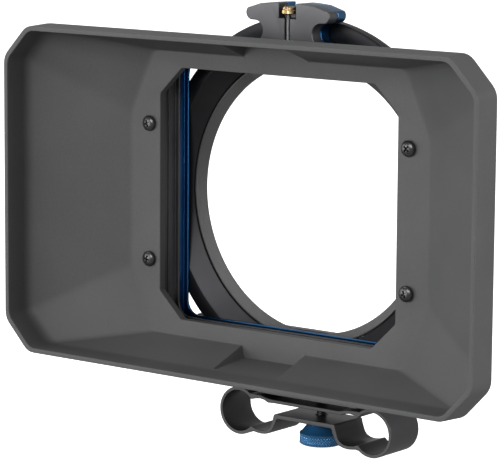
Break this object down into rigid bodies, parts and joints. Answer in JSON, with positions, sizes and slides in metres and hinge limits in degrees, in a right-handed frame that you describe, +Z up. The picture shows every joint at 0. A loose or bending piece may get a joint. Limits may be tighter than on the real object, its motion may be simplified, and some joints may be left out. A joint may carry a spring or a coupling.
{
  "type": "matte box lens hood",
  "caption": "Cine matte box: wide faceted sunshade, lift-out filter trays with screw jaws, round lens ring and a clamp for two rods.",
  "frame": {"origin": "midway between the two rod axes, in the middle of the clamp's depth", "axes": "+X right seen from the front, +Y back along the optical axis towards the lens, +Z up"},
  "size_m": [0.208, 0.0658, 0.1624],
  "materials": {
    "hood_moulding": "fine matte",
    "black_anodised": "satin anodised",
    "blue_anodised": "satin anodised",
    "black_steel": "black oxide",
    "steel": "bright",
    "brass": "machined",
    "jaw_aluminium": "satin anodised",
    "rubber": "matte"
  },
  "bodies": {
    "stage": {"hood": "hood_moulding", "hood_screw_1": "black_steel", "hood_screw_2": "black_steel", "hood_screw_3": "black_steel", "hood_screw_4": "black_steel", "stage_plate": "black_anodised", "rail_left": "black_anodised", "rail_right": "black_anodised", "base_bar": "black_anodised", "base_screw_left": "black_steel", "base_screw_right": "black_steel", "stage_bolt_1": "black_steel", "stage_bolt_2": "black_steel", "stage_bolt_3": "black_steel", "stage_bolt_4": "black_steel", "front_tray_spring": "steel", "rear_tray_spring": "steel", "lens_ring": "black_anodised", "adapter_ring": "black_anodised", "rod_bracket": "black_anodised", "bracket_screw_1": "black_steel", "bracket_screw_2": "black_steel", "bracket_screw_3": "black_steel", "bracket_screw_4": "black_steel", "rod_clamp": "black_anodised", "clamp_screw": "black_steel"},
    "front_tray_body": {"front_tray": "black_anodised"},
    "front_jaw_body": {"front_jaw": "jaw_aluminium", "front_jaw_pad": "rubber"},
    "front_screw_body": {"front_thumbwheel": "brass", "front_lead_screw": "steel"},
    "rear_tray_body": {"rear_tray": "blue_anodised"},
    "rear_jaw_body": {"rear_jaw": "jaw_aluminium", "rear_jaw_pad": "rubber"},
    "rear_screw_body": {"rear_thumbwheel": "brass", "rear_lead_screw": "steel"},
    "washer_body": {"clamp_washer": "steel"},
    "knob_body": {"clamp_knob": "blue_anodised"}
  },
  "joints": [
    {"name": "front_tray_lift", "type": "slide", "parent": "stage", "child": "front_tray_body", "axis": [0, 0, 1], "range_m": [0, 0.11]},
    {"name": "front_jaw_travel", "type": "slide", "parent": "front_tray_body", "child": "front_jaw_body", "axis": [0, 0, 1], "range_m": [-0.00122, 0.00122]},
    {"name": "front_wheel_turn", "type": "hinge", "parent": "front_jaw_body", "child": "front_screw_body", "pos_m": [0, -0.01975, 0.15], "axis": [0, 0, 1], "range_deg": [-1260, 1260]},
    {"name": "rear_tray_lift", "type": "slide", "parent": "stage", "child": "rear_tray_body", "axis": [0, 0, 1], "range_m": [0, 0.11]},
    {"name": "rear_jaw_travel", "type": "slide", "parent": "rear_tray_body", "child": "rear_jaw_body", "axis": [0, 0, 1], "range_m": [-0.00122, 0.00122]},
    {"name": "rear_wheel_turn", "type": "hinge", "parent": "rear_jaw_body", "child": "rear_screw_body", "pos_m": [0, -0.013, 0.15], "axis": [0, 0, 1], "range_deg": [-1260, 1260]},
    {"name": "washer_drop", "type": "slide", "parent": "stage", "child": "washer_body", "axis": [0, 0, -1], "range_m": [0, 0.00104]},
    {"name": "clamp_knob_turn", "type": "hinge", "parent": "washer_body", "child": "knob_body", "pos_m": [0, 0.0024, -0.006], "axis": [0, 0, -1], "range_deg": [0, 540]}
  ],
  "couplings": [
    {"joint": "front_wheel_turn", "follows": "front_jaw_travel", "rad_per_m": 17952},
    {"joint": "rear_wheel_turn", "follows": "rear_jaw_travel", "rad_per_m": 17952},
    {"joint": "clamp_knob_turn", "follows": "washer_drop", "rad_per_m": 8976}
  ]
}
